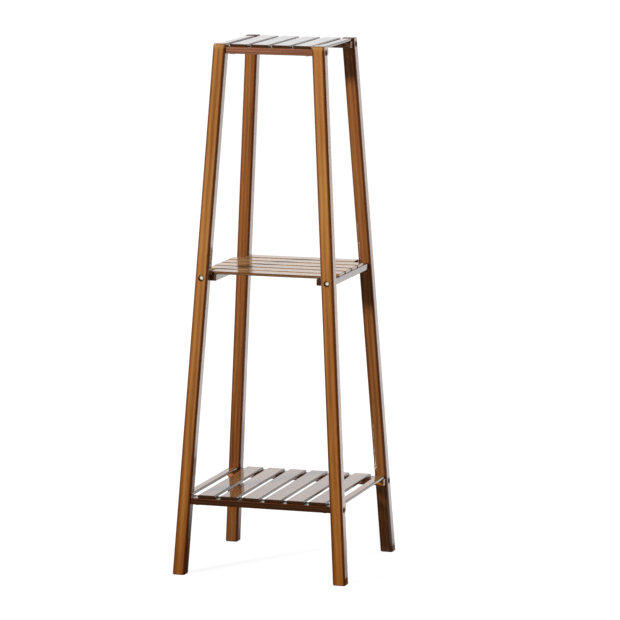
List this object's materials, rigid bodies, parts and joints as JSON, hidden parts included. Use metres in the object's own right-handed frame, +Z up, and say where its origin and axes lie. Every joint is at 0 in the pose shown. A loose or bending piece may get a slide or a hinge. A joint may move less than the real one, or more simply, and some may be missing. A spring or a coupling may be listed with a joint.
{
  "type": "tiered floor rack",
  "caption": "Wooden floor rack with splayed square legs that taper in to the top and slatted shelves on bolted rails, for standing plants, baskets or shoes.",
  "frame": {"origin": "on the floor under the middle of the rack", "axes": "+Z up, +X to the right along the front, +Y to the back; the front faces -Y"},
  "size_m": [0.329, 0.329, 0.965],
  "materials": {
    "leg_wood": "brown stain under lacquer",
    "rail_wood": "brown stain under lacquer",
    "slat_wood": "brown stain under lacquer",
    "steel": "plated"
  },
  "bodies": {
    "root": {"bottom_barrel_nuts": "steel", "bottom_bolts": "steel", "bottom_pins": "steel", "bottom_rail_back": "rail_wood", "bottom_rail_front": "rail_wood", "bottom_slat_1": "slat_wood", "bottom_slat_2": "slat_wood", "bottom_slat_3": "slat_wood", "bottom_slat_4": "slat_wood", "bottom_slat_5": "slat_wood", "bottom_slat_6": "slat_wood", "bottom_slat_7": "slat_wood", "bottom_slat_8": "slat_wood", "leg_back_left": "leg_wood", "leg_back_right": "leg_wood", "leg_front_left": "leg_wood", "leg_front_right": "leg_wood", "middle_barrel_nuts": "steel", "middle_bolts": "steel", "middle_pins": "steel", "middle_rail_left": "rail_wood", "middle_rail_right": "rail_wood", "middle_slat_1": "slat_wood", "middle_slat_2": "slat_wood", "middle_slat_3": "slat_wood", "middle_slat_4": "slat_wood", "middle_slat_5": "slat_wood", "middle_slat_6": "slat_wood", "top_barrel_nuts": "steel", "top_bolts": "steel", "top_pins": "steel", "top_rail_back": "rail_wood", "top_rail_front": "rail_wood", "top_slat_1": "slat_wood", "top_slat_2": "slat_wood", "top_slat_3": "slat_wood", "top_slat_4": "slat_wood", "top_slat_5": "slat_wood", "top_slat_6": "slat_wood"}
  },
  "joints": []
}
